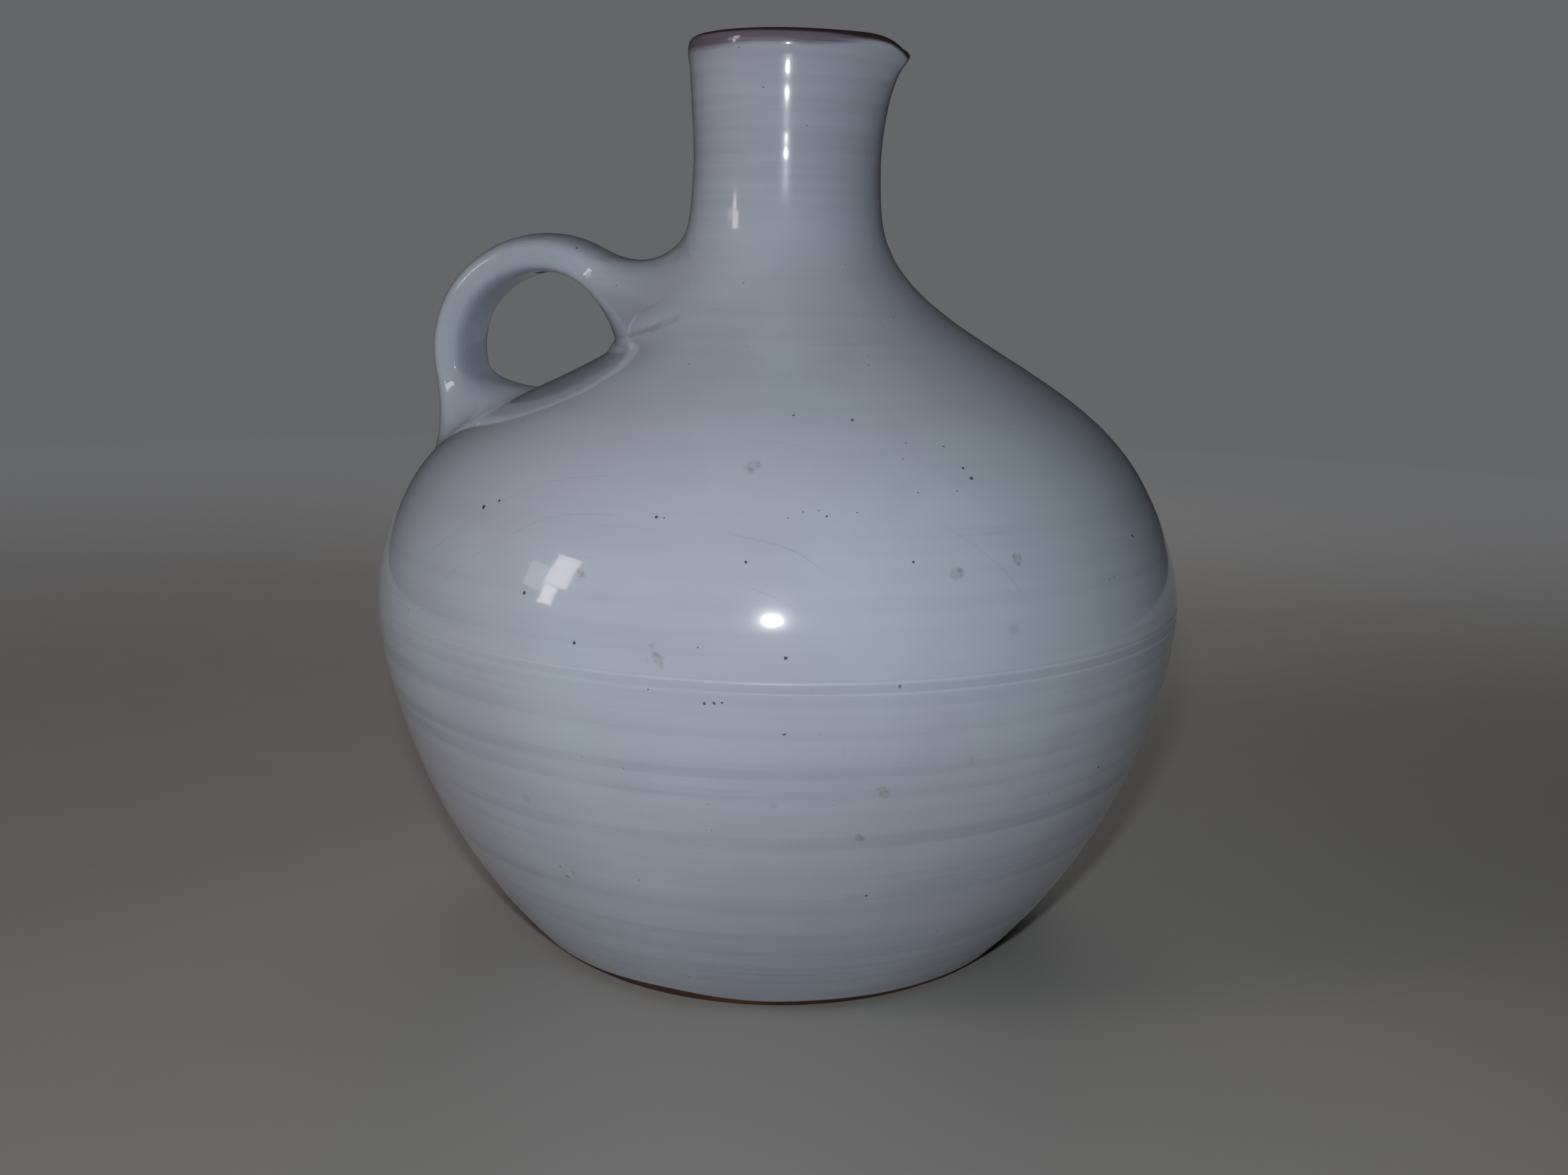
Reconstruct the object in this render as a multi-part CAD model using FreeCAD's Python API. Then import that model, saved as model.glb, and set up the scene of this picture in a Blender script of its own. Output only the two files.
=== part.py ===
import FreeCAD, Part
import math
import os

# Large glazed earthenware water jug: a thrown pot with a narrow neck and a pulled pouring lip,
# and a small ring handle pressed on between the neck base and the shoulder.
# Millimetres. +Z up, the foot stands on Z = 0 and the pot's axis is the Z axis. The pouring lip
# points along +X and the ring handle stands on the opposite side, in the plane Y = 0.

# ---- pot: outside outline (radius, height) from the foot to just below the rim
HEIGHT = 300.0
OUTLINE = [
    (85.0, 0.0),
    (95.5, 12.0),
    (108.0, 30.0),
    (119.0, 50.0),
    (129.0, 76.0),
    (135.2, 100.0),
    (136.5, 121.0),
    (128.0, 150.0),
    (115.0, 170.0),
    (90.5, 190.0),
    (66.0, 205.0),
    (45.5, 220.0),
    (34.4, 235.0),
    (31.1, 254.0),
    (31.0, 270.0),
    (32.4, 291.0),
]
RIM_EDGE = (32.7, 297.4)
RIM_CORNER = (31.9, 299.4)
RIM_APEX = (30.3, HEIGHT)
RIM_INSIDE = (28.7, 298.2)

# ---- pot: wall and floor
WALL = 6.0
NECK_WALL = 4.6
NECK_WALL_FROM = 225.0
EVEN_WALL_FROM = 50.0
EVEN_WALL_TO = 290.0
FLOOR = 8.0
FLOOR_CORNER = [(101.0, 30.0), (88.0, 17.0), (66.0, 9.4)]
FLOOR_FLAT_RADIUS = 40.0
FOOT_RING_INSIDE = 74.0
FOOT_RECESS = 2.0

# ---- pouring lip: how far the rim is pulled out and down at +X
LIP_PULL = 8.0
LIP_DROP = 4.3
LIP_HALF_ANGLE = 32.0
LIP_DROP_HALF_ANGLE = 15.0
LIP_FADE = 12.0

# ---- the shoulder is pressed flat under the ring, to leave room for the fingers
PRESS_DEPTH = 19.5
PRESS_HEIGHT = 198.0
PRESS_BELOW = 14.0
PRESS_ABOVE = 9.0
PRESS_HALF_ANGLE = 63.0
PRESS_EDGE_SHARPNESS = 8.0

# ---- strap handle: centre line (distance from the pot's axis, height) and section
STRAP_LINE = [
    (46.0, 206.0),
    (55.0, 214.0),
    (67.0, 225.6),
    (84.0, 231.0),
    (104.0, 225.4),
    (117.0, 212.0),
    (120.7, 197.0),
    (118.5, 184.0),
    (112.0, 171.0),
    (104.0, 160.0),
]
STRAP_WIDTH = 26.0
STRAP_THICKNESS = 12.2
STRAP_SQUARENESS = 2.6
STRAP_STATIONS = 25

# ---- clay smeared round the strap's ends:
# (distance from the axis, height, half thickness, half width) from the ring into the wall
UPPER_JOIN = [
    (71.0, 228.0, 7.2, 14.0),
    (62.0, 222.8, 8.0, 15.0),
    (52.5, 217.6, 11.8, 18.0),
    (43.5, 213.5, 15.5, 26.0),
    (34.5, 210.0, 19.0, 34.0),
]
LOWER_JOIN = [
    (120.0, 190.5, 7.2, 14.0),
    (117.2, 182.5, 9.0, 16.5),
    (112.6, 175.5, 13.6, 21.0),
    (106.8, 168.5, 19.5, 26.5),
    (100.5, 162.0, 26.0, 32.0),
]

# ---- glaze
GLAZE = 0.5
GLAZE_FOOT_LINE = 2.6
GROOVES = [117.0, 120.2]
GROOVE_RADIUS = 0.35

# ---- closing disc of the solid blocks that are only used for cutting
LEVEL_ABOVE_RIM = 6.0

# ---- how finely the surfaces are sampled
RING_POINTS = 72
OUTSIDE_RINGS = 30
INSIDE_RINGS = 30
WALL_POINTS = 15
LEAST_RING_STEP = 1.5
SECTION_POINTS = 28
HALVINGS = 40


def vec(x, y, z):
    return FreeCAD.Vector(x, y, z)


def plane_curve(points):
    """Smooth curve through (radius, height) points, drawn in the plane Y = 0."""
    curve = Part.BSplineCurve()
    curve.interpolate([vec(r, 0, z) for r, z in points])
    return curve


def curve_normal(curve, u):
    """Unit normal to the right of the direction of travel, as (radius, height)."""
    t = curve.tangent(u)[0]
    return t.z, -t.x


def sample(curve, count):
    """Parameters at equal steps of arc length."""
    shape = curve.toShape()
    length = shape.Length
    return [curve.parameterAtDistance(length * i / (count - 1)) for i in range(count)]


def press(angle, z):
    """Radial depth of the pressed shoulder at an angle in degrees away from the handle."""
    inside = 1 - (angle / PRESS_HALF_ANGLE) ** 2
    soft = math.log1p(math.exp(PRESS_EDGE_SHARPNESS * inside)) / PRESS_EDGE_SHARPNESS
    reach = PRESS_BELOW if z < PRESS_HEIGHT else PRESS_ABOVE
    return PRESS_DEPTH * soft * math.exp(-(((z - PRESS_HEIGHT) / reach) ** 2))


def ring_point(r, z, degrees):
    """Point of the pot's skin: a turned outline, pulled out at the lip and pressed in below the ring."""
    from_lip = (degrees + 180) % 360 - 180
    from_handle = 180 - abs(from_lip)
    fade = math.exp((min(z, HEIGHT) - HEIGHT) / LIP_FADE)
    pull = LIP_PULL * math.exp(-((from_lip / LIP_HALF_ANGLE) ** 2)) * fade
    drop = LIP_DROP * math.exp(-((from_lip / LIP_DROP_HALF_ANGLE) ** 2)) * fade
    if z > HEIGHT + GLAZE:
        drop = 0.0
    radius = r + pull - press(from_handle, z)
    a = math.radians(degrees)
    return vec(radius * math.cos(a), radius * math.sin(a), z - drop)


def ring(r, z):
    """Closed ring of the pot's skin for one point of the outline."""
    curve = Part.BSplineCurve()
    points = [ring_point(r, z, 360.0 * i / RING_POINTS) for i in range(RING_POINTS)]
    curve.interpolate(Points=points, PeriodicFlag=True)
    return Part.Wire([curve.toShape()])


def skin_solid(points):
    """Solid between the rings of an outline that runs up the outside and down the inside."""
    return Part.makeLoft([ring(r, z) for r, z in points], True, False)


def radius_at(curve, height):
    """Radius of the outside outline at a height, by halving the parameter range."""
    low = curve.FirstParameter
    high = curve.LastParameter
    for _ in range(HALVINGS):
        middle = (low + high) / 2
        if curve.value(middle).z < height:
            low = middle
        else:
            high = middle
    return curve.value((low + high) / 2).x


def outside_points(offset, lowest):
    """Outside of the pot from a given height up to the rim's edge, moved out by an offset."""
    curve = plane_curve(OUTLINE + [RIM_EDGE])
    points = [(radius_at(curve, lowest) + offset, lowest)]
    for u in sample(curve, OUTSIDE_RINGS):
        p = curve.value(u)
        nr, nz = curve_normal(curve, u)
        if p.z + offset * nz > lowest + LEAST_RING_STEP:
            points.append((p.x + offset * nr, p.z + offset * nz))
    return points


def inside_points(offset):
    """Inside of the pot from the rim down to the floor, moved into the hollow by an offset."""
    outside = plane_curve(OUTLINE + [RIM_EDGE])
    wall_points = [RIM_INSIDE]
    for u in reversed(sample(outside, WALL_POINTS)):
        p = outside.value(u)
        nr, nz = curve_normal(outside, u)
        wall = NECK_WALL if p.z > NECK_WALL_FROM else WALL
        if EVEN_WALL_FROM < p.z < EVEN_WALL_TO:
            wall_points.append((p.x - wall * nr, p.z - wall * nz))
    curve = plane_curve(wall_points + FLOOR_CORNER + [(FLOOR_FLAT_RADIUS, FLOOR)])
    points = []
    for u in sample(curve, INSIDE_RINGS):
        p = curve.value(u)
        nr, nz = curve_normal(curve, u)
        points.append((p.x + offset * nr, p.z + offset * nz))
    points[-1] = (FLOOR_FLAT_RADIUS, FLOOR + offset)
    return points


def vessel(offset, lowest):
    """The hollow pot, or the pot with a coat of the given thickness on both faces."""
    diagonal = offset / math.sqrt(2)
    crest = [(RIM_CORNER[0] + diagonal, RIM_CORNER[1] + diagonal), (RIM_APEX[0], RIM_APEX[1] + offset)]
    return skin_solid(outside_points(offset, lowest) + crest + inside_points(offset))


def block(offset, lowest, rim_radius):
    """The pot's outside as a solid block, closed by a level disc a little above the rim."""
    top = [(rim_radius, HEIGHT), (rim_radius, HEIGHT + LEVEL_ABOVE_RIM)]
    return skin_solid(outside_points(offset, lowest) + top)


def strap_section(centre, direction, half_thickness, half_width):
    """Rounded strap section across a direction in the handle's plane."""
    r, z = centre
    dr, dz = direction
    curve = Part.BSplineCurve()
    points = []
    for i in range(SECTION_POINTS):
        a = 2 * math.pi * i / SECTION_POINTS
        c = math.cos(a)
        s = math.sin(a)
        power = 2 / STRAP_SQUARENESS
        across = half_thickness * math.copysign(abs(c) ** power, c)
        side = half_width * math.copysign(abs(s) ** power, s)
        points.append(vec(-(r + across * dz), side, z - across * dr))
    curve.interpolate(Points=points, PeriodicFlag=True)
    return Part.Wire([curve.toShape()])


def strap_solid(grow):
    """The bent strap, swept along its centre line and run into the wall at both ends."""
    line = plane_curve(STRAP_LINE)
    sections = []
    for u in sample(line, STRAP_STATIONS):
        p = line.value(u)
        t = line.tangent(u)[0]
        half_thickness = STRAP_THICKNESS / 2 + grow
        half_width = STRAP_WIDTH / 2 + grow
        sections.append(strap_section((p.x, p.z), (t.x, t.z), half_thickness, half_width))
    return Part.makeLoft(sections, True, False)


def join_solid(stations, grow):
    """The clay smeared round one end of the strap: a trumpet that widens into the wall."""
    line = plane_curve([(r, z) for r, z, thick, wide in stations])
    sections = []
    for i, (r, z, thick, wide) in enumerate(stations):
        t = line.tangent(line.parameter(vec(r, 0, z)))[0]
        back = grow if i == 0 else 0.0
        centre = (r - back * t.x, z - back * t.z)
        sections.append(strap_section(centre, (t.x, t.z), thick + grow, wide + grow))
    return Part.makeLoft(sections, True, False)


def groove_ring(z):
    """One incised line round the belly, as the ring of glaze that it takes away."""
    outline = plane_curve(OUTLINE + [RIM_EDGE])
    radius = radius_at(outline, z) + GLAZE
    return Part.makeTorus(radius, GROOVE_RADIUS, vec(0, 0, z))


def main_solid(shape):
    """The largest solid of a result, so that slivers left by a cut are dropped."""
    return max(shape.Solids, key=lambda s: s.Volume)


def save(name, shape):
    solid = main_solid(shape)
    print(name, "valid", solid.isValid(), "volumes", ["%.1f" % s.Volume for s in shape.Solids])
    solid.exportStep("parts/%s.step" % name)


os.makedirs("parts", exist_ok=True)

# Clay
foot_recess = Part.makeCylinder(FOOT_RING_INSIDE, FOOT_RECESS, vec(0, 0, 0))
pot = vessel(0.0, 0.0).cut(foot_recess)
pot_block = block(0.0, 0.0, RIM_EDGE[0])
strap = strap_solid(0.0)
upper_trumpet = join_solid(UPPER_JOIN, 0.0)
lower_trumpet = join_solid(LOWER_JOIN, 0.0)
handle = strap.cut(pot_block)
upper_join = upper_trumpet.cut(strap).cut(pot_block)
lower_join = lower_trumpet.cut(strap).cut(pot_block)

# Glaze: one coat on both faces of the pot, parted along the crest of the rim
coat = vessel(GLAZE, GLAZE_FOOT_LINE).cut(pot)
mid_wall = block(-NECK_WALL / 2, FLOOR / 2, RIM_APEX[0])
lining = coat.common(mid_wall)
outer_coat = coat.cut(mid_wall)
handle_coat = strap_solid(GLAZE).fuse([join_solid(UPPER_JOIN, GLAZE), join_solid(LOWER_JOIN, GLAZE)])
for clay in (strap, upper_trumpet, lower_trumpet):
    outer_coat = outer_coat.cut(clay)
    handle_coat = handle_coat.cut(clay)
handle_coat = handle_coat.cut(block(GLAZE, GLAZE_FOOT_LINE, RIM_EDGE[0] + GLAZE))
for height in GROOVES:
    outer_coat = outer_coat.cut(groove_ring(height))

save("pot", pot)
save("handle", handle)
save("upper_handle_join", upper_join)
save("lower_handle_join", lower_join)
save("outer_glaze", outer_coat)
save("handle_glaze", handle_coat)
save("inner_glaze", lining)
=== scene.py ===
import math

import bpy
import numpy as np
from mathutils import Matrix, Vector


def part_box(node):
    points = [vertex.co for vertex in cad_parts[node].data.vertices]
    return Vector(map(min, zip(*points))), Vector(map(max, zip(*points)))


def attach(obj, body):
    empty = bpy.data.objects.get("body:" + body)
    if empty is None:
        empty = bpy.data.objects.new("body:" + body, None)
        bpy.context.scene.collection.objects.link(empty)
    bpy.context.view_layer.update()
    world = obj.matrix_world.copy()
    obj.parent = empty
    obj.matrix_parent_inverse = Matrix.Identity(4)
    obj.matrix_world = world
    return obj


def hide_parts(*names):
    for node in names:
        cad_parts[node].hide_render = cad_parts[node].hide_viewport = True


# A glazed earthenware water jug: a thrown pot with a pulled lip and a small ring handle.
# Shapes are worked out in millimetres in the frame's axes and turned into metres when a mesh
# is made. The pot's axis is Z, the lip points along +X and the handle stands at -X, in Y = 0.

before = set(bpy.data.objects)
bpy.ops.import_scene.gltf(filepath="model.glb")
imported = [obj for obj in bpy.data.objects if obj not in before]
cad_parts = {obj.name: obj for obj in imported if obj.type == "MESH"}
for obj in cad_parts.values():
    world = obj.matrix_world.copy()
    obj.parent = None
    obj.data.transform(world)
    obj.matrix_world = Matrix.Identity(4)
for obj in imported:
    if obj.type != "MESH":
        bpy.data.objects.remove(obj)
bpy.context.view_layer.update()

MM = 0.001
TURN = 360.0
TURN_RAD = 2 * math.pi

# ---- the pot's outline (radius, height), as in the frame
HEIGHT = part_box("pot")[1].z / MM
OUTLINE = [
    (85.0, 0.0),
    (95.5, 12.0),
    (108.0, 30.0),
    (119.0, 50.0),
    (129.0, 76.0),
    (135.2, 100.0),
    (136.5, 121.0),
    (128.0, 150.0),
    (115.0, 170.0),
    (90.5, 190.0),
    (66.0, 205.0),
    (45.5, 220.0),
    (34.4, 235.0),
    (31.1, 254.0),
    (31.0, 270.0),
    (32.4, 291.0),
]
RIM_EDGE = (32.7, 297.4)
RIM_CORNER = (31.9, 299.4)
RIM_APEX = (30.3, HEIGHT)
RIM_INSIDE = (28.7, 298.2)
WALL = 6.0
NECK_WALL = 4.6
NECK_WALL_FROM = 225.0
EVEN_WALL_FROM = 50.0
EVEN_WALL_TO = 290.0
WALL_POINTS = 15
FLOOR = 8.0
MIDDLE_RADIUS = 2.0
FLOOR_CORNER = [(101.0, 30.0), (88.0, 17.0), (66.0, 9.4), (40.0, FLOOR)]
FOOT_RING_INSIDE = 74.0
FOOT_RECESS = 2.0

# ---- pulled lip and pressed shoulder
LIP_PULL = 8.0
LIP_DROP = 4.3
LIP_HALF_ANGLE = 32.0
LIP_DROP_HALF_ANGLE = 15.0
LIP_FADE = 12.0
PRESS_DEPTH = 19.5
PRESS_HEIGHT = 198.0
PRESS_ABOVE = 9.0
PRESS_BELOW = 14.0
# Straight under the handle it reaches further down: by how much, over what half angle
PRESS_SAGS = [(8.0, 38.0), (8.0, 15.0)]
# Towards its two ends it rises: by how much, between which angles from the handle
PRESS_RISE = 4.0
PRESS_RISE_ANGLES = (42.0, 72.0)
PRESS_HALF_ANGLE = 68.0
PRESS_EDGE_SHARPNESS = 4.0

# ---- glaze
GLAZE = 0.46
GLAZE_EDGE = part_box("outer_glaze")[0].z / MM
EDGE_ROUND = 0.6
CLAY_GAP = 0.04
LINES = (120.2, 117.0)
LINE_DEPTH = 0.11
LINE_WIDTH = 0.42
# The burr on each side of a line: how far out, half width, share of the line's depth
LINE_BURR = (0.95, 0.4, 0.16)

# ---- ring handle: centre line (distance from the axis, height) and section
STRAP_LINE = [
    (46.0, 206.0),
    (55.0, 214.0),
    (67.0, 225.6),
    (84.0, 231.0),
    (104.0, 225.4),
    (117.0, 212.0),
    (120.7, 197.0),
    (118.5, 184.0),
    (112.0, 171.0),
    (104.0, 160.0),
]
STRAP_WIDTH = 26.0
STRAP_THICKNESS = 12.2
STRAP_SQUARENESS = 2.4
STRAP_INNER_SQUARENESS = 4.2
STRAP_FROM = (70.0, 227.3)
STRAP_TO = (119.8, 190.0)
# Footprint of each end on the pot: half angle, then height on the outer, side and inner face
UPPER_FOOT = (66.0, 241.0, 217.0, 202.0)
LOWER_FOOT = (18.0, 147.0, 169.0, 184.0)
# How far each flare keeps the strap's direction and the pot's, on the outer, side, inner face
UPPER_LEAVE = (20.0, 16.0, 11.0)
UPPER_LAND = (9.0, 14.0, 2.5)
LOWER_LEAVE = (10.0, 8.0, 7.0)
LOWER_LAND = (17.0, 14.0, 5.0)
FOOT_HASTE = 0.6
LAND_HASTE = 0.4
FOOT_DIVE = 0.1
LAND_ABOVE = 0.1
CAP_SINK = 2.0

# ---- mesh density
POT_COLUMNS = 320
LINING_COLUMNS = 192
CLAY_COLUMNS = 256
STRAP_COLUMNS = 112
STRAP_ROWS = 72
FLARE_ROWS = 26
FLARE_CROWDING = 1.35
SHARP_ANGLE = 50.0

ROOT = "root"


# ---------------------------------------------------------------- curves and surfaces

def smooth_curve(points, samples=4001):
    """Natural cubic spline through points: dense positions, unit tangents and arc lengths."""
    p = np.array(points, float)
    t = np.r_[0, np.cumsum(np.hypot(*np.diff(p, axis=0).T))]
    h = np.diff(t)
    count = len(p)
    system = np.eye(count)
    load = np.zeros((count, 2))
    for i in range(1, count - 1):
        system[i, i - 1:i + 2] = h[i - 1], 2 * (h[i - 1] + h[i]), h[i]
        load[i] = 6 * ((p[i + 1] - p[i]) / h[i] - (p[i] - p[i - 1]) / h[i - 1])
    bend = np.linalg.solve(system, load)
    u = np.linspace(0, t[-1], samples)
    i = np.clip(np.searchsorted(t, u) - 1, 0, count - 2)
    a = (u - t[i])[:, None]
    b = (t[i + 1] - u)[:, None]
    w = h[i][:, None]
    start = p[i] / w - bend[i] * w / 6
    end = p[i + 1] / w - bend[i + 1] * w / 6
    place = (bend[i] * b ** 3 + bend[i + 1] * a ** 3) / (6 * w) + start * b + end * a
    speed = (bend[i + 1] * a ** 2 - bend[i] * b ** 2) / (2 * w) - start + end
    tangent = speed / np.linalg.norm(speed, axis=1, keepdims=True)
    length = np.r_[0, np.cumsum(np.hypot(*np.diff(place, axis=0).T))]
    return place, tangent, length


class Curve:
    """A plane curve that is read by arc length."""

    def __init__(self, points):
        self.place, self.tangent, self.s = smooth_curve(points)
        self.length = self.s[-1]

    def at(self, s):
        """(radius, height) at an arc length."""
        return tuple(np.interp(s, self.s, self.place[:, k]) for k in (0, 1))

    def normal(self, s):
        """Unit normal to the right of the direction of travel."""
        tr, tz = (np.interp(s, self.s, self.tangent[:, k]) for k in (0, 1))
        size = np.hypot(tr, tz)
        return tz / size, -tr / size

    def direction(self, s):
        nr, nz = self.normal(s)
        return -nz, nr

    def nearest(self, point):
        """Arc length of the place nearest to a point."""
        return self.s[np.argmin(np.hypot(*(self.place - np.array(point)).T))]


def wall_points():
    """The inside of the wall, an even distance in from the outside."""
    outside = Curve(OUTLINE + [RIM_EDGE])
    points = []
    for s in np.linspace(outside.length, 0, WALL_POINTS):
        r, z = outside.at(s)
        nr, nz = outside.normal(s)
        wall = NECK_WALL if z > NECK_WALL_FROM else WALL
        if EVEN_WALL_FROM < z < EVEN_WALL_TO:
            points.append((r - wall * nr, z - wall * nz))
    return points


RIM = [RIM_EDGE, RIM_CORNER, RIM_APEX, RIM_INSIDE]
PROFILE = Curve(OUTLINE + RIM + wall_points() + FLOOR_CORNER)
CREST = PROFILE.nearest(RIM_APEX)
OUTSIDE = PROFILE.s <= CREST


def soft_step(x, low, high):
    """0 below low, 1 above high, smooth between."""
    t = np.clip((x - low) / (high - low), 0, 1)
    return t * t * (3 - 2 * t)


def bell(x, width):
    return np.exp(-((x / width) ** 2))


def around(degrees, centre):
    """Signed angle from a centre, from -180 to 180 degrees."""
    return (degrees - centre + TURN / 2) % TURN - TURN / 2


def press(from_handle, z):
    """Radial depth of the pressed shoulder."""
    inside = 1 - (from_handle / PRESS_HALF_ANGLE) ** 2
    soft = np.log1p(np.exp(PRESS_EDGE_SHARPNESS * inside)) / PRESS_EDGE_SHARPNESS
    below = PRESS_BELOW + sum(lower * bell(from_handle, width) for lower, width in PRESS_SAGS)
    middle = PRESS_HEIGHT + PRESS_RISE * soft_step(from_handle, *PRESS_RISE_ANGLES)
    reach = np.where(z < middle, below, PRESS_ABOVE)
    return PRESS_DEPTH * soft * bell(z - middle, reach)


def shaped(r, z, degrees):
    """Points of the pot for outline points and angles, with the lip and the dent."""
    from_lip = around(degrees, 0)
    fade = np.exp((np.minimum(z, HEIGHT) - HEIGHT) / LIP_FADE)
    pull = LIP_PULL * bell(from_lip, LIP_HALF_ANGLE) * fade
    drop = LIP_DROP * bell(from_lip, LIP_DROP_HALF_ANGLE) * fade
    radius = r + pull - press(180 - np.abs(from_lip), z)
    a = np.radians(degrees)
    return np.stack([radius * np.cos(a), radius * np.sin(a), z - drop], -1)


# Finger marks of the throwing: wavelength, depth on the lower pot, belly and neck, and start
FINGER_MARKS = [
    (17.0, 0.11, 0.06, 0.00, 0.4),
    (11.3, 0.07, 0.02, 0.03, 2.1),
    (6.4, 0.03, 0.006, 0.022, 4.4),
]
LOW_MARKS_END = (62.0, 100.0)
NECK_MARKS_START = (222.0, 248.0)
UNEVENNESS = 0.04
# The two broad hollows of the neck: height, half width, depth
NECK_HOLLOW = (261.0, 9.5, 0.30)
RIM_HOLLOW = (293.5, 3.0, 0.10)
# Deeper rings on the neck: from and to which height the surface sinks, and by how much
NECK_RINGS = [
    (246.0, 256.0, -0.15),
    (257.0, 262.5, 0.15),
    (266.8, 269.2, 0.042),
    (269.2, 272.5, -0.042),
    (273.0, 277.0, -0.095),
    (278.5, 284.0, 0.095),
    (285.5, 292.5, 0.25),
    (292.7, 295.7, -0.25),
]
NECK_RINGS_TILT = 0.7
# The finger marks die out between these distances from the rim's crest
CALM_RIM = (6.0, 2.0)


def finger_depth(degrees, s, z):
    """Depth of the soft spiral waves that the potter's fingers leave."""
    a = np.radians(degrees)
    low = 1 - soft_step(z, *LOW_MARKS_END)
    neck = soft_step(z, *NECK_MARKS_START)
    belly = 1 - low - neck
    sway = 1.5 * np.sin(a + 1.0) + 0.8 * np.sin(2 * a + 2.3) + 0.5 * np.sin(3 * a + 4.0)
    depth = UNEVENNESS * (1 + np.sin(2 * a + z / 40.0))
    for length, in_low, in_belly, in_neck, start in FINGER_MARKS:
        size = in_low * low + in_belly * belly + in_neck * neck
        swell = 0.75 + 0.25 * np.sin(2 * a + 0.05 * s + start)
        wave = 0.5 + 0.5 * np.sin(TURN_RAD * (s + sway) / length - a + start)
        depth = depth + size * swell * wave
    height, width, deep = NECK_HOLLOW
    hollow = deep * bell(z - height - 2.0 * np.sin(a + 0.4), width)
    height, width, deep = RIM_HOLLOW
    hollow = hollow + deep * bell(z - height, width)
    level = z - NECK_RINGS_TILT * np.sin(a + 1.335)
    for low, high, deeper in NECK_RINGS:
        hollow = hollow + deeper * soft_step(level, low, high)
    return depth * soft_step(s, 3.0, 9.0) + hollow * (0.8 + 0.2 * np.sin(a + 2.9))


def line_depth(degrees, z):
    """Depth of the two incised lines, which run together and fade towards the handle's side."""
    out, width, share = LINE_BURR
    depth = 0
    for height, fade in line_places(degrees):
        off = z - height
        depth = depth + fade * (bell(off, LINE_WIDTH) - share * bell(np.abs(off) - out, width))
    return LINE_DEPTH * depth


def pot_skin(degrees, s, offset):
    """Points of the pot's outside at arc lengths of the outline, with the marks of the making."""
    r, z = PROFILE.at(s)
    nr, nz = PROFILE.normal(s)
    calm = 1 - soft_step(s, CREST - CALM_RIM[0], CREST - CALM_RIM[1])
    d = offset - finger_depth(degrees, s, z) * calm - line_depth(degrees, z)
    return shaped(r + d * nr, z + d * nz, degrees)


def pot_at_height(degrees, z, offset):
    """The same by height instead of arc length."""
    s = np.interp(z, PROFILE.place[OUTSIDE, 1], PROFILE.s[OUTSIDE])
    return pot_skin(degrees, s, offset)


# ---------------------------------------------------------------- meshes

def faces_of_grid(rows, columns, wrap):
    i = np.arange(rows if wrap else rows - 1)[:, None]
    j = np.arange(columns)[None, :]
    after = (j + 1) % columns
    above = (i + 1) % rows
    corners = [i * columns + j, i * columns + after, above * columns + after, above * columns + j]
    return np.stack(np.broadcast_arrays(*corners), -1).reshape(-1, 4)


def volume_of(points, quads):
    a, b, c, d = (points[quads[:, k]] for k in range(4))
    first = np.einsum("ij,ij->i", a, np.cross(b, c))
    second = np.einsum("ij,ij->i", a, np.cross(c, d))
    return (first.sum() + second.sum()) / 6


def make_piece(name, grid, replaced, material, wrap=True, ends=None, values=None):
    """A closed piece from a grid of points in millimetres: rows that go round, along a path.

    The rows join up into a ring if wrap is set; otherwise each end is closed onto its own point.
    """
    rows, columns = grid.shape[:2]
    points = grid.reshape(-1, 3)
    quads = faces_of_grid(rows, columns, wrap)
    flip = volume_of(points, quads) < 0
    faces = [tuple(q) for q in (quads[:, ::-1] if flip else quads).tolist()]
    data = {key: np.asarray(value, float).reshape(-1) for key, value in (values or {}).items()}
    if not wrap:
        points = np.vstack([points, ends])
        last = (rows - 1) * columns
        for j in range(columns):
            k = (j + 1) % columns
            near = (k, j, rows * columns)
            far = (last + j, last + k, rows * columns + 1)
            faces += [near[::-1], far[::-1]] if flip else [near, far]
        data = {key: np.r_[value, 0, 0] for key, value in data.items()}
    mesh = bpy.data.meshes.new(name)
    mesh.from_pydata((points * MM).tolist(), [], faces)
    mesh.validate()
    mesh.shade_smooth()
    mesh.set_sharp_from_angle(angle=math.radians(SHARP_ANGLE))
    for key, value in data.items():
        layer = mesh.attributes.new(key, "FLOAT", "POINT")
        layer.data.foreach_set("value", value.astype(np.float32))
    mesh.materials.append(material)
    piece = bpy.data.objects.new(name, mesh)
    bpy.context.scene.collection.objects.link(piece)
    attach(piece, ROOT)
    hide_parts(*replaced)


def steps(start, stop, size):
    """Even steps no longer than a size, both ends included."""
    return np.linspace(start, stop, max(2, int(math.ceil(abs(stop - start) / size)) + 1))


def columns_of(count):
    return np.arange(count) * TURN / count


# ---------------------------------------------------------------- materials

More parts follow.
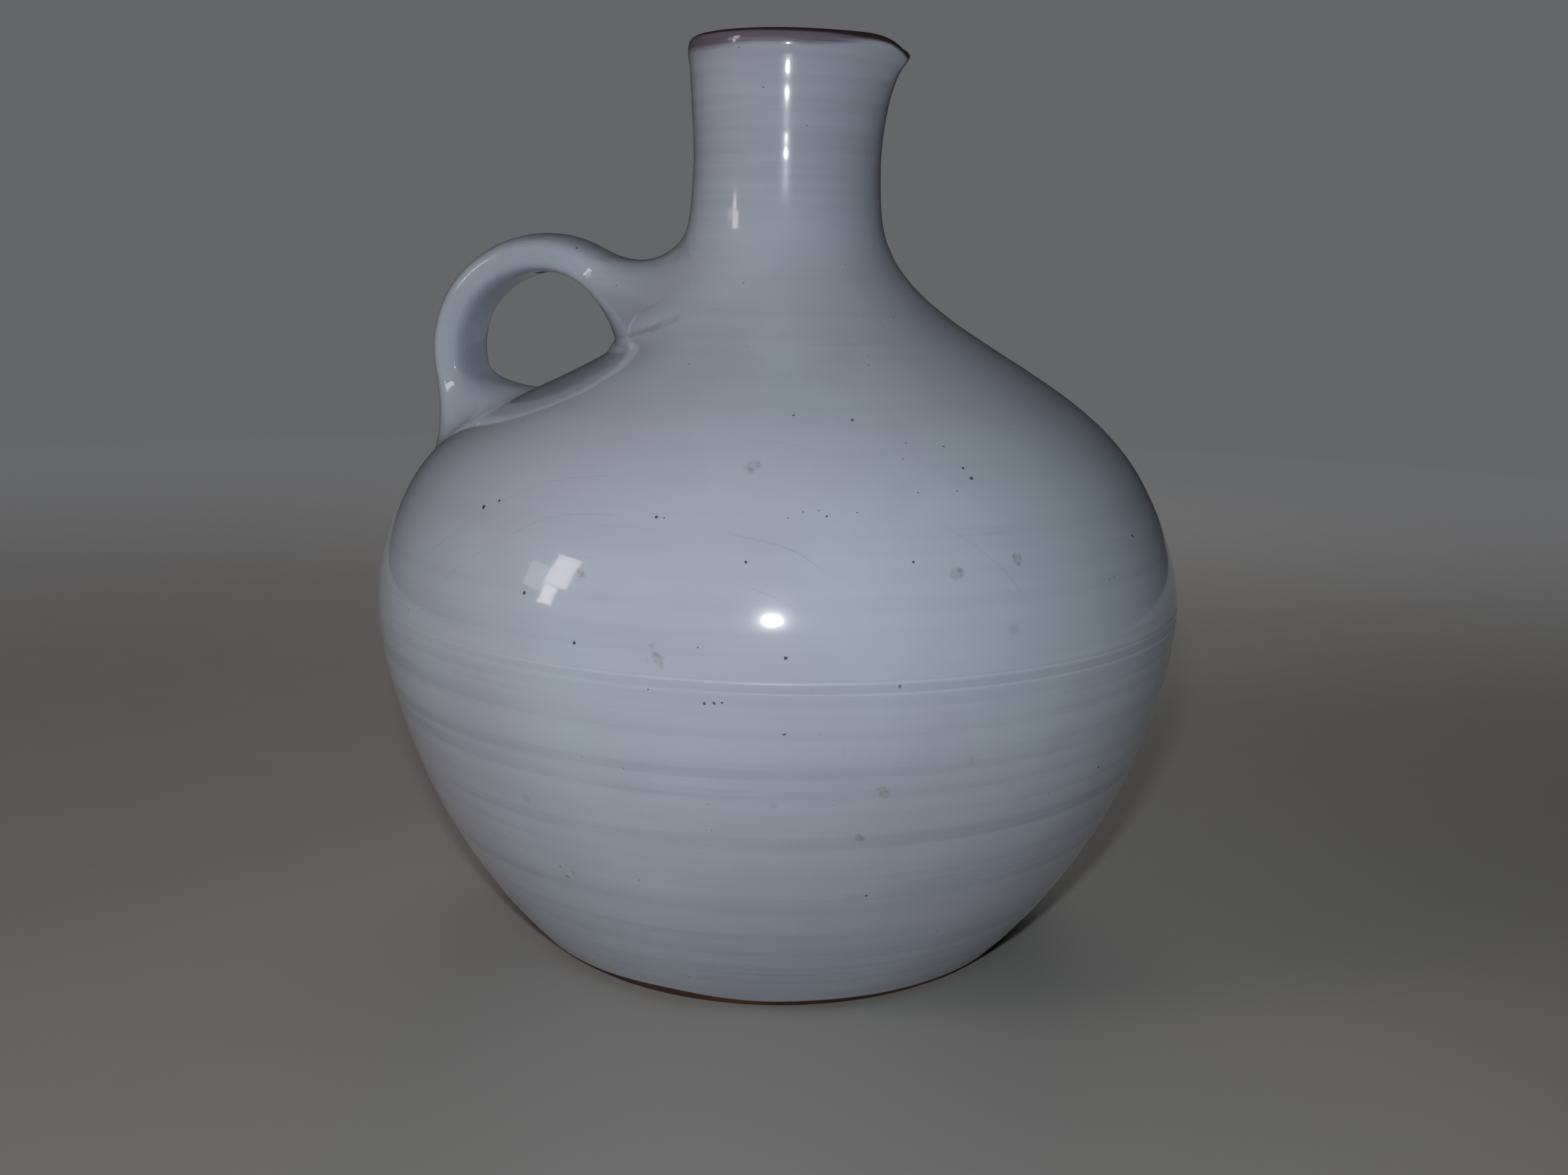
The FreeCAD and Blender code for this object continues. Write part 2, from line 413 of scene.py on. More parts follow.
class Nodes:
    """Short names for the shader nodes of one material."""

    def __init__(self, name):
        self.material = bpy.data.materials.new(name)
        self.material.use_nodes = True
        self.tree = self.material.node_tree
        self.tree.nodes.clear()
        self.out = self.new("ShaderNodeOutputMaterial")
        self.shader = self.new("ShaderNodeBsdfPrincipled")
        self.link(self.shader.outputs[0], self.out.inputs[0])
        self.place = self.new("ShaderNodeTexCoord").outputs["Object"]

    def new(self, kind):
        return self.tree.nodes.new(kind)

    def link(self, a, b):
        self.tree.links.new(a, b)

    def put(self, value, socket):
        """A link where the value is a socket, else the socket's own value."""
        if isinstance(value, bpy.types.NodeSocket):
            self.link(value, socket)
        else:
            socket.default_value = value

    def stretched(self, scale, shift=(0, 0, 0)):
        node = self.new("ShaderNodeMapping")
        self.link(self.place, node.inputs["Vector"])
        node.inputs["Scale"].default_value = scale
        node.inputs["Location"].default_value = shift
        return node.outputs[0]

    def noise(self, scale, detail=2.0, rough=0.5, vector=None):
        node = self.new("ShaderNodeTexNoise")
        self.link(vector or self.place, node.inputs["Vector"])
        node.inputs["Scale"].default_value = scale
        node.inputs["Detail"].default_value = detail
        node.inputs["Roughness"].default_value = rough
        return node.outputs[0]

    def spots(self, scale):
        """Distance to scattered points, and a random colour for each of them."""
        node = self.new("ShaderNodeTexVoronoi")
        self.link(self.place, node.inputs["Vector"])
        node.inputs["Scale"].default_value = scale
        return node.outputs["Distance"], node.outputs["Color"]

    def attribute(self, name):
        node = self.new("ShaderNodeAttribute")
        node.attribute_name = name
        return node.outputs["Fac"]

    def math(self, kind, *values, clamp=False):
        node = self.new("ShaderNodeMath")
        node.operation = kind
        node.use_clamp = clamp
        for value, socket in zip(values, node.inputs):
            self.put(value, socket)
        return node.outputs[0]

    def product(self, first, *others):
        for other in others:
            first = self.math("MULTIPLY", first, other)
        return first

    def vector_math(self, kind, *values, output=0):
        node = self.new("ShaderNodeVectorMath")
        node.operation = kind
        for value, socket in zip(values, node.inputs):
            self.put(value, socket)
        return node.outputs[output]

    def band(self, value, low, high, out_low=0.0, out_high=1.0):
        """Smooth change from out_low to out_high as a value goes from low to high."""
        node = self.new("ShaderNodeMapRange")
        node.interpolation_type = "SMOOTHSTEP"
        self.put(value, node.inputs["Value"])
        node.inputs["From Min"].default_value = low
        node.inputs["From Max"].default_value = high
        node.inputs["To Min"].default_value = out_low
        node.inputs["To Max"].default_value = out_high
        return node.outputs[0]

    def mix(self, amount, a, b):
        node = self.new("ShaderNodeMix")
        node.data_type = "RGBA"
        self.put(amount, node.inputs[0])
        self.put(a if isinstance(a, bpy.types.NodeSocket) else (*a, 1.0), node.inputs[6])
        self.put(b if isinstance(b, bpy.types.NodeSocket) else (*b, 1.0), node.inputs[7])
        return node.outputs[2]

    def height(self):
        node = self.new("ShaderNodeSeparateXYZ")
        self.link(self.place, node.inputs[0])
        return node.outputs[2]

    def distance_to(self, point):
        return self.vector_math("DISTANCE", self.place, point, output="Value")

    def bump(self, value, strength, distance, before=None):
        node = self.new("ShaderNodeBump")
        node.inputs["Strength"].default_value = strength
        node.inputs["Distance"].default_value = distance
        self.link(value, node.inputs["Height"])
        if before is not None:
            self.link(before, node.inputs["Normal"])
        return node.outputs[0]


COOL_WHITE = (0.625, 0.70, 0.80)
LAVENDER_WHITE = (0.60, 0.625, 0.74)
BAND_GREY = (0.44, 0.485, 0.59)
NECK_GREY = (0.40, 0.41, 0.50)
IRON_BROWN = (0.105, 0.060, 0.035)
SPECK_DARK = (0.030, 0.022, 0.022)
STAIN = (0.30, 0.26, 0.22)
RIM_PURPLE = (0.150, 0.115, 0.150)
RIM_BROWN = (0.052, 0.034, 0.036)
# Colour of the crease darkening: real dirt and painted shade at the handle's ends
CREASE_DIRT_AND_SHADE = (0.15, 0.125, 0.085)
LINE_WHITE = (0.84, 0.88, 0.94)
CRACK_GREY = (0.30, 0.28, 0.31)
# Heights in metres between which a tint comes in
LOW_BANDS_HEIGHTS = (0.160, 0.070)
NECK_GREY_HEIGHTS = (0.215, 0.262)
TURNED_RIM_HEIGHTS = (0.250, 0.262)
CRACK_HEIGHTS = (0.128, 0.142)
# Hair cracks run round a centre out to a radius, so many rings to the metre
CRACK_CENTRE = (-0.004, -0.132, 0.046)
CRACK_REACH = (0.180, 0.140)
CRACK_RINGS = 88.0
CRACK_STRENGTH = 0.17
GLASS_IOR = 1.5
COAT = 0.22
COAT_ROUGHNESS = 0.2
# Scattered specks: cells to the metre, half size in cells, share of cells left out, strength
SPECK_KINDS = [(60.0, 0.034, 0.35, 0.9), (135.0, 0.045, 0.55, 0.75)]


def glaze_material(name, marked):
    """Glassy tin-white glaze, partly lavender, with bands, hair cracks, specks and stains.

    The meshes' attributes say where it is thin at an edge, pooled, dirty in a crease, or on a line.
    Some of that darkening is painted shade: in the creases (with real dirt), in the dent, on the
    handle's inner face and lower end, and on its edges and outer face (with thin glaze).
    """
    n = Nodes(name)
    z = n.height()
    colour = n.mix(n.band(n.noise(11.0, 3.0), 0.40, 0.62), COOL_WHITE, LAVENDER_WHITE)

    bands = n.band(n.noise(1.0, 3.0, 0.62, n.stretched((2.2, 2.2, 170.0))), 0.43, 0.68)
    patchy = n.band(n.noise(14.0, 2.0), 0.35, 0.65)
    low = n.band(z, *LOW_BANDS_HEIGHTS, 0.14, 0.60)
    amount = n.product(bands, low, n.math("MULTIPLY_ADD", patchy, 0.7, 0.5))
    colour = n.mix(amount, colour, BAND_GREY)

    fine = n.band(n.noise(1.0, 3.0, 0.55, n.stretched((9.0, 9.0, 560.0))), 0.60, 0.70)
    broken = n.band(n.noise(26.0, 2.0), 0.48, 0.62)
    colour = n.mix(n.product(fine, broken, 0.22), colour, BAND_GREY)

    streaky = n.noise(1.0, 3.0, 0.6, n.stretched((8.0, 8.0, 260.0), (0.4, 0.1, 0.0)))
    neck = n.product(n.band(z, *NECK_GREY_HEIGHTS), n.band(streaky, 0.30, 0.70, 0.6, 1.0), 0.62)
    colour = n.mix(neck, colour, NECK_GREY)

    if marked:
        colour = fine_cracks(n, colour)
        colour = stains(n, colour)
        colour = single_marks(n, colour)
    colour = specks(n, colour)

    grain = n.noise(230.0, 3.0)
    # Darker in the creases round the handle's ends: real dirt and painted shade
    crease_dirt_and_shade = n.attribute("crease_dirt_and_shade")
    dirt_and_shade = n.band(n.product(crease_dirt_and_shade, n.band(grain, 0.30, 0.60, 0.35, 1.0)), 0.25, 0.95)
    colour = n.mix(n.product(dirt_and_shade, 0.55), colour, CREASE_DIRT_AND_SHADE)
    # Greyer glaze by the lines; painted shade in the dent, on the handle's inner face and lower end
    pooled_and_shade = n.attribute("pooled_and_shade")
    colour = n.mix(n.math("MULTIPLY", pooled_and_shade, 0.35, clamp=True), colour, BAND_GREY)
    line = n.attribute("line")
    colour = n.mix(n.product(line, 0.30), colour, LINE_WHITE)

    # Thin glaze at rim and foot; thin glaze and painted shade on the handle's edges and outer face
    thin_glaze_and_shade = n.attribute("thin_glaze_and_shade")
    on_neck = n.band(z, *TURNED_RIM_HEIGHTS)
    turned = n.product(n.noise(1.0, 3.0, 0.6, n.stretched((30.0, 30.0, 900.0))), on_neck)
    wiped = n.product(n.noise(70.0, 2.0), n.math("SUBTRACT", 1.0, on_neck))
    uneven = n.math("SUBTRACT", n.math("ADD", turned, wiped), 0.5)
    edge = n.math("ADD", thin_glaze_and_shade, n.product(uneven, 0.8))
    edge = n.product(edge, n.band(thin_glaze_and_shade, 0.02, 0.2))
    colour = n.mix(n.band(edge, 0.10, 0.95, 0.0, 0.9), colour, RIM_PURPLE)
    colour = n.mix(n.band(edge, 0.95, 1.35), colour, RIM_BROWN)

    n.link(colour, n.shader.inputs["Base Color"])
    rough = n.band(n.noise(38.0, 3.0), 0.35, 0.75, 0.04, 0.095)
    rough = n.math("ADD", rough, n.product(dirt_and_shade, 0.3))
    rough = n.math("ADD", rough, n.product(line, 0.45))
    n.link(rough, n.shader.inputs["Roughness"])
    n.shader.inputs["IOR"].default_value = GLASS_IOR
    n.link(n.band(line, 0.0, 0.6, COAT, 0.0), n.shader.inputs["Coat Weight"])
    n.shader.inputs["Coat Roughness"].default_value = COAT_ROUGHNESS
    skin = n.bump(n.noise(120.0, 2.0), 0.05, 0.0006)
    n.link(skin, n.shader.inputs["Normal"])
    return n.material


def fine_cracks(n, colour):
    """Long hair cracks in the glaze: wide arcs about a place low on one side, broken up."""
    warp = n.product(n.noise(9.0, 2.0), 0.030)
    radius = n.math("ADD", n.distance_to(CRACK_CENTRE), warp)
    wave = n.math("FRACT", n.product(radius, CRACK_RINGS))
    line = n.band(n.math("ABSOLUTE", n.math("SUBTRACT", wave, 0.5)), 0.030, 0.008)
    reach = n.product(n.band(n.height(), *CRACK_HEIGHTS), n.band(radius, *CRACK_REACH))
    seen = n.band(n.noise(30.0, 3.0), 0.47, 0.62)
    return n.mix(n.product(line, reach, seen, CRACK_STRENGTH), colour, CRACK_GREY)


def specks(n, colour):
    """Iron specks and pinholes of two sizes, scattered through the glaze."""
    for scale, size, left_out, strength in SPECK_KINDS:
        distance, random = n.spots(scale)
        pick = n.new("ShaderNodeSeparateColor")
        n.link(random, pick.inputs[0])
        spot = n.band(distance, size, size * 0.55)
        chosen = n.band(pick.outputs[0], left_out, left_out + 0.02)
        iron = n.mix(pick.outputs[1], SPECK_DARK, IRON_BROWN)
        colour = n.mix(n.product(spot, chosen, strength), colour, iron)
    return colour


def stains(n, colour):
    """Small brownish stains where the glaze has been chipped, rubbed or soiled."""
    shifted = n.stretched((1.0, 1.0, 1.3), (0.31, 0.12, 0.55))
    patch = n.band(n.noise(30.0, 2.0, 0.5, shifted), 0.715, 0.78)
    crumbs = n.band(n.noise(420.0, 2.0), 0.50, 0.66)
    return n.mix(n.product(patch, crumbs, 0.7), colour, STAIN)


# Single marks in the glaze: angle round the pot in degrees, height, half size
SPECKS = [
    (-120, 158, 0.75), (-92, 161, 0.7), (-108, 138, 0.75), (-80, 151, 0.55), (-100, 127, 0.5),
    (-75, 127, 0.65), (-74, 187, 0.6), (-64, 186, 0.55), (-48, 171, 0.6), (-62, 119, 0.6),
    (-75, 106, 0.5), (-19, 150, 0.7), (-84, 114, 0.6), (-83, 114.2, 0.6), (-82, 114.6, 0.5),
    (-63, 52, 0.6),
    (-75, 162, 0.35), (-73, 163.5, 0.3), (-71, 164, 0.3), (-70, 162.5, 0.35), (-66, 163.5, 0.3),
    (-57, 168, 0.3), (-50, 179, 0.35),
    (35, 140, 0.8), (95, 160, 0.9), (150, 120, 0.7), (120, 95, 0.8), (60, 172, 0.7),
]
RUBBED = [
    (-80, 174, 3.0), (-100.3, 145, 1.9), (-90, 129, 1.6), (-89.6, 125, 2.8), (-91, 125, 1.4),
    (-54, 147, 2.4), (-45, 150, 2.0), (-65, 73, 2.6), (-63, 88, 2.4), (80, 130, 3.4),
    (140, 165, 3.0),
]
NO_MARK = 9.0
GREY_SPOTS = [(-47, 132, 2.3), (-76, 84, 1.8), (-110, 76, 2.2), (-52, 95, 1.8), (100, 110, 2.2)]


def nearest_mark(n, marks, place):
    """Distance to the nearest of some marks, in half sizes of that mark."""
    nearest = NO_MARK
    for angle, height, size in marks:
        point = pot_at_height(np.array([float(angle)]), np.array([float(height)]), GLAZE)[0]
        distance = n.vector_math("DISTANCE", place, tuple(point * MM), output="Value")
        nearest = n.math("MINIMUM", n.math("DIVIDE", distance, size * MM), nearest)
    return nearest


def ragged_place(n, scale, reach):
    """The object's coordinates, shaken so that a round mark gets a ragged outline."""
    noise = n.new("ShaderNodeTexNoise")
    n.link(n.place, noise.inputs["Vector"])
    noise.inputs["Scale"].default_value = scale
    shaken = n.vector_math("MULTIPLY_ADD", noise.outputs["Color"], (reach,) * 3, n.place)
    return n.vector_math("SUBTRACT", shaken, (reach / 2,) * 3)


def single_marks(n, colour):
    """The larger iron specks, the rubbed brown stains and the grey spots under the glaze."""
    rubbed = n.band(nearest_mark(n, RUBBED, ragged_place(n, 230.0, 0.006)), 1.05, 0.35)
    crumbs = n.band(n.noise(640.0, 2.0, 0.6), 0.44, 0.60, 0.40, 1.0)
    colour = n.mix(n.product(rubbed, crumbs, 0.6), colour, STAIN)
    grey = n.band(nearest_mark(n, GREY_SPOTS, ragged_place(n, 300.0, 0.002)), 1.1, 0.2)
    colour = n.mix(n.product(grey, 0.45), colour, BAND_GREY)
    dark = n.band(nearest_mark(n, SPECKS, ragged_place(n, 900.0, 0.0012)), 1.0, 0.6)
    iron = n.mix(n.noise(60.0), SPECK_DARK, IRON_BROWN)
    return n.mix(n.product(dark, 0.9), colour, iron)


CLAY_DARK = (0.105, 0.038, 0.026)
CLAY_LIGHT = (0.215, 0.078, 0.034)
GROG = (0.33, 0.17, 0.10)
SCORCHED = (0.045, 0.022, 0.018)


def clay_material():
    """Bare red-brown earthenware with grog, fine turning lines and scorched patches."""
    n = Nodes("red_earthenware")
    patch = n.band(n.noise(22.0, 3.0), 0.38, 0.64)
    colour = n.mix(patch, CLAY_DARK, CLAY_LIGHT)
    grit = n.band(n.spots(620.0)[0], 0.26, 0.10)
    colour = n.mix(n.product(grit, 0.5), colour, GROG)
    dark = n.band(n.noise(310.0, 3.0), 0.56, 0.70)
    colour = n.mix(n.product(dark, 0.6), colour, SCORCHED)
    n.link(colour, n.shader.inputs["Base Color"])
    n.link(n.band(n.noise(90.0, 2.0), 0.3, 0.7, 0.62, 0.88), n.shader.inputs["Roughness"])
    lines = n.bump(n.noise(1.0, 2.0, 0.5, n.stretched((14.0, 14.0, 900.0))), 0.25, 0.0004)
    n.link(n.bump(n.noise(900.0, 3.0), 0.35, 0.0003, lines), n.shader.inputs["Normal"])
    return n.material


BLACK = (0.0, 0.0, 0.0)
WALL_GREY = (0.130, 0.132, 0.138)
TABLE_DARK = (0.375, 0.365, 0.35)
TABLE_LIGHT = (0.415, 0.405, 0.39)
TABLE_FAR = (0.004, 0.004, 0.004)
# Distances in metres over which the table runs out into the wall's grey
TABLE_FADE = (0.35, 1.3)


def floor_material():
    """Pale matt table top."""
    n = Nodes("pale_table")
    near = n.mix(n.noise(3.0, 4.0), TABLE_DARK, TABLE_LIGHT)
    far = n.band(n.distance_to((0, 0, 0)), *TABLE_FADE)
    n.link(n.mix(far, near, TABLE_FAR), n.shader.inputs["Base Color"])
    n.link(n.mix(far, BLACK, WALL_GREY), n.shader.inputs["Emission Color"])
    n.shader.inputs["Emission Strength"].default_value = 1.0
    n.link(n.band(n.noise(40.0, 3.0), 0.3, 0.7, 0.55, 0.65), n.shader.inputs["Roughness"])
    n.shader.inputs["Specular IOR Level"].default_value = 0.3
    return n.material


# ---------------------------------------------------------------- the pot

# The waver of the glaze's lower edge: waves round the pot, size, start
EDGE_WAVES = [(3, 0.22, 0.6), (7, 0.16, 2.0), (13, 0.10, 4.1)]
# Where it was wiped higher: angle, half width in degrees, how much
EDGE_WIPED = [(-98.0, 13.0, 1.3), (40.0, 20.0, 0.7)]
EDGE_LIFT = 0.3


def edge_height(degrees):
    """Height of the glaze's lower edge, which wavers and is wiped higher in two places."""
    a = np.radians(degrees)
    waver = sum(size * np.sin(count * a + start) for count, size, start in EDGE_WAVES)
    wiped = sum(lift * bell(around(degrees, at), width) for at, width, lift in EDGE_WIPED)
    return GLAZE_EDGE + EDGE_LIFT + waver + wiped


# Rows of the outer skin: distances past the glaze's lower edge, then the step from row to row
EDGE_ROWS = [0.0, 0.03, 0.09, 0.18, 0.30, 0.45, 0.60, 0.9, 1.4, 2.0, 3.0]
FOOT_SLANT = 1.3
WALL_STEP = 1.6
LINE_STEP = 0.14
RIM_STEP = 0.36
RIM_BAND = 9.0
BELOW_LINES = 1.6
ABOVE_LINES = 1.5
# The rows above the edge follow its waver, less and less over this length
EDGE_FOLLOW = 5.0
BACK_ROWS = 30
BACK_CLEARANCE = 0.02


def outer_rows():
    """Arc lengths of the outer skin's rows: close together at the edge, the lines and the rim."""
    edge = GLAZE_EDGE * FOOT_SLANT + np.array(EDGE_ROWS)
    top, bottom = (np.interp(z, PROFILE.place[OUTSIDE, 1], PROFILE.s[OUTSIDE]) for z in LINES)
    bottom, top = bottom - BELOW_LINES, top + ABOVE_LINES
    below = steps(edge[-1], bottom, WALL_STEP)[1:]
    lines = steps(bottom, top, LINE_STEP)[1:]
    above = steps(top, CREST - RIM_BAND, WALL_STEP)[1:]
    rim = steps(CREST - RIM_BAND, CREST, RIM_STEP)[1:]
    return np.r_[edge, below, lines, above, rim]


def near_foot(degrees, z, foot, width):
    """How near a place on the pot is to the outline of one end of the handle: 1 on it, 0 away."""
    half_angle, outer, side, inner = foot
    to_inner = (z - side) * (inner - side) > 0
    reach = np.where(to_inner, abs(inner - side), abs(outer - side))
    rise = np.abs(z - side) / reach
    rise = np.where(to_inner, rise ** (1 / FOOT_HASTE), rise)
    scaled = np.hypot(around(degrees, 180.0) / half_angle, rise)
    return bell((scaled - 1) * reach, width)


# Dirt and painted shade in the creases round the handle's ends: how much, half widths,
# heights where it comes in
CREASE = 0.7
UPPER_CREASE = 1.3
UPPER_CREASE_HEIGHTS = (218.0, 210.0)
LOWER_CREASE = 1.2
LOWER_CREASE_HEIGHTS = (174.0, 180.0)
# Painted shade in the dent: how much, and the depths between which it comes in
DENT_SHADE = 1.5
DENT_SHADE_DEPTHS = (2.0, 10.0)
# The glaze runs thin at its lower edge: how thin, over what half width
BARE_EDGE = (1.3, 0.9)


def make_outer_skin(material):
    """The glaze on the outside: a thin closed shell from the foot to the crest of the rim."""
    degrees = columns_of(POT_COLUMNS)[None, :]
    s = outer_rows()[:, None]
    edge_z = edge_height(degrees)
    edge_s = np.interp(edge_z, PROFILE.place[OUTSIDE, 1], PROFILE.s[OUTSIDE])
    s = s + (edge_s - s[0, 0]) * np.exp(-(s - s[0, 0]) / EDGE_FOLLOW)
    from_edge = s - edge_s
    rounding = 1 - np.clip(from_edge / EDGE_ROUND, 0, 1)
    offset = GLAZE * np.sqrt(1 - rounding ** 2)
    turned = np.broadcast_to(degrees, s.shape)
    outer = pot_skin(turned, s, offset)

    back = np.linspace(CREST, 0, BACK_ROWS)[:, None]
    back = np.maximum(back, edge_s + BACK_CLEARANCE)
    inner = pot_skin(np.broadcast_to(degrees, back.shape), back, 0.0)
    grid = np.concatenate([outer, inner])

    def on_outer(value):
        return np.concatenate([np.broadcast_to(value, s.shape), np.zeros(back.shape)])

    z = PROFILE.at(s)[1]
    # Dirt and painted shade along the outlines of the handle's ends
    upper = near_foot(turned, z, UPPER_FOOT, UPPER_CREASE) * soft_step(z, *UPPER_CREASE_HEIGHTS)
    lower = near_foot(turned, z, LOWER_FOOT, LOWER_CREASE) * soft_step(z, *LOWER_CREASE_HEIGHTS)
    # Painted shade in the pressed dent, darker where the dent is deeper
    dent_shade = DENT_SHADE * soft_step(press(180 - np.abs(around(turned, 0)), z), *DENT_SHADE_DEPTHS)
    bare, width = BARE_EDGE
    values = {
        "thin_glaze_and_shade": on_outer(rim_band(turned, CREST - s) + bare * bell(from_edge, width)),
        "crease_dirt_and_shade": on_outer(CREASE * (upper + lower)),
        "pooled_and_shade": on_outer(line_shade(turned, z) + dent_shade),
        "line": on_outer(line_glow(turned, z)),
    }
    make_piece("outer_glaze_skin", grid, ["outer_glaze"], material, values=values)


# The faint band and the dark edge at the rim: how thin the glaze is, width, more width at the lip
RIM_FAINT = (0.92, 7.4, -4.4)
RIM_DARK = (0.85, 1.1, 1.6)
RIM_LIP_HALF_ANGLE = 45.0
RIM_DARK_FADE = 1.5


def rim_band(degrees, from_crest):
    """How thin the glaze is at the rim, where the clay's iron shows through."""
    a = np.radians(degrees)
    towards_lip = bell(around(degrees, 0.0), RIM_LIP_HALF_ANGLE)
    faint, width, more = RIM_FAINT
    width = width + more * towards_lip + 0.6 * np.sin(2 * a + 1.2) + 0.45 * np.sin(5 * a + 0.5)
    faint = faint * (1 - soft_step(from_crest, 0.5 * width, 1.15 * width))
    dark, width, more = RIM_DARK
    edge = width + more * towards_lip
    return faint + dark * (1 - soft_step(from_crest, edge, edge + RIM_DARK_FADE))


# Where the incised lines fade: angle, half width in degrees, how much
LINES_FADE = (-140.0, 42.0, 0.80)


def line_places(degrees):
    """Height and strength of each incised line round the pot."""
    at, width, faded = LINES_FADE
    strength = 1 - faded * bell(around(degrees, at), width)
    gap = 0.78 + 0.22 * np.cos(np.radians(degrees + 30.0))
    first, second = LINES
    return [(first, strength), (first - (first - second) * gap, strength ** 4)]


def line_shade(degrees, z):
    """The glaze is a little deeper, so greyer, between and just below the incised lines."""
    (first, strength), (second, fade) = line_places(degrees)
    between = strength * bell(z - (first + second) / 2, 1.5)
    return between + 0.7 * fade * bell(z - second + 2.4, 1.6)


def line_glow(degrees, z):
    """The glaze is whitest where it has run off the edges of the incised lines."""
    return sum(strength * bell(z - height, 0.4) for height, strength in line_places(degrees))


# Finger marks inside: depth, pitch, and how far from the crest they begin and end
INSIDE_MARK_DEPTH = 0.10
INSIDE_MARK_PITCH = 9.5
INSIDE_MARKS_BEGIN = (3.0, 9.0)
INSIDE_MARKS_END = (190.0, 230.0)
# Rows of the lining: the step near the rim, how far that goes, the step below, on the floor
INSIDE_RIM_STEP = 0.4
INSIDE_RIM = 8.0
INSIDE_STEP = 2.6
FLOOR_STEP = 6.0


def make_lining(material):
    """The glaze inside: a thin closed shell from the crest of the rim down to the floor."""
    degrees = columns_of(LINING_COLUMNS)[None, :]
    rim_end = CREST + INSIDE_RIM
    near_rim = steps(CREST, rim_end, INSIDE_RIM_STEP)
    s = np.r_[near_rim, steps(rim_end, PROFILE.length, INSIDE_STEP)[1:]][:, None]
    r, z = PROFILE.at(s)
    nr, nz = PROFILE.normal(s)
    wave = 0.5 + 0.5 * np.sin(TURN_RAD * s / INSIDE_MARK_PITCH + np.radians(degrees))
    marks = INSIDE_MARK_DEPTH * wave * soft_step(s - CREST, *INSIDE_MARKS_BEGIN)
    marks = marks * (1 - soft_step(s - CREST, *INSIDE_MARKS_END))
    sheets = []
    for depth in (GLAZE - marks, np.zeros(marks.shape)):
        sheets.append(shaped(r + depth * nr, z + depth * nz, np.broadcast_to(degrees, marks.shape)))
    flat = steps(FLOOR_CORNER[-1][0], MIDDLE_RADIUS, FLOOR_STEP)[1:][:, None]
    floors = []
    for height in (FLOOR + GLAZE, FLOOR):
        a = np.radians(degrees)
        level = np.full(np.broadcast_shapes(flat.shape, a.shape), height)
        floors.append(np.stack([flat * np.cos(a), flat * np.sin(a), level], -1))
    grid = np.concatenate([floors[0][::-1], sheets[0][::-1], sheets[1], floors[1]])
    thin_glaze_and_shade = rim_band(np.broadcast_to(degrees, marks.shape), s - CREST)
    blank = np.zeros(floors[0].shape[:2])
    values = {"thin_glaze_and_shade": np.concatenate([blank, thin_glaze_and_shade[::-1], np.zeros(thin_glaze_and_shade.shape), blank])}
    ends = [(0, 0, FLOOR + GLAZE), (0, 0, FLOOR)]
    name, slot, node = "inner_glaze_lining", "inner_glaze", "inner_glaze"
    make_piece(name, grid, [node], material, False, ends, values)


# The turned foot: from the recess down to the ring, as radius past the ring's inside and height,
# then the ring itself and its outside edge, as radius and height
FOOT_STEP = [(-0.9, 1.85), (-0.3, 1.3), (0.0, 0.7), (0.3, 0.2), (0.9, 0.0)]
FOOT_RING = [(77.0, 0.0), (80.0, 0.0), (83.0, 0.0), (84.3, 0.0), (84.9, 0.08), (85.35, 0.35)]
# The turning spiral of the recess, and the radii where it begins and ends
SPIRAL_DEPTH = 0.22
SPIRAL_PITCH = 5.2
SPIRAL_BEGIN = (MIDDLE_RADIUS, 6.0)
SPIRAL_END = (66.0, 71.0)
# Rows of the clay: where they start, the bare part and its step, the step above it and inside
CLAY_FROM = 1.2
CLAY_BARE = 9.0
CLAY_BARE_STEP = 0.5
CLAY_STEP = 2.6
CLAY_INSIDE_STEP = 3.5


def make_clay_pot(material):
    """The clay body: bare at the foot, with a turned foot ring and a shallow recess below it."""
    degrees = columns_of(CLAY_COLUMNS)[None, :]
    a = np.radians(degrees)
    bare = steps(CLAY_FROM, CLAY_BARE, CLAY_BARE_STEP)
    s = np.r_[bare, steps(CLAY_BARE, CREST, CLAY_STEP)[1:]][:, None]
    outside = pot_skin(np.broadcast_to(degrees, (len(s), CLAY_COLUMNS)), s, -CLAY_GAP)
    s = steps(CREST, PROFILE.length, CLAY_INSIDE_STEP)[1:][:, None]
    r, z = PROFILE.at(s)
    nr, nz = PROFILE.normal(s)
    turned = np.broadcast_to(degrees, (len(s), CLAY_COLUMNS))
    inside = shaped(r - CLAY_GAP * nr, z - CLAY_GAP * nz, turned)

    radii = steps(MIDDLE_RADIUS, FOOT_RING_INSIDE - 1.6, 1.5)
    rings = [(float(x), FOOT_RECESS) for x in radii]
    rings += [(FOOT_RING_INSIDE + past, level) for past, level in FOOT_STEP]
    base = np.array(rings + FOOT_RING)
    radius = base[:, 0][:, None] * np.ones_like(a)
    height = base[:, 1][:, None] * np.ones_like(a)
    spiral = SPIRAL_DEPTH * (0.5 + 0.5 * np.sin(TURN_RAD * radius / SPIRAL_PITCH - a))
    spiral = spiral * (1 - soft_step(radius, *SPIRAL_END)) * soft_step(radius, *SPIRAL_BEGIN)
    height = height + spiral
    below = np.stack([radius * np.cos(a), radius * np.sin(a), height], -1)
    grid = np.concatenate([below, outside, inside])
    ends = [(0, 0, FOOT_RECESS), (0, 0, FLOOR - CLAY_GAP)]
    make_piece("clay_pot", grid, ["pot"], material, False, ends)


# ---------------------------------------------------------------- the handle

STRAP = Curve(STRAP_LINE)


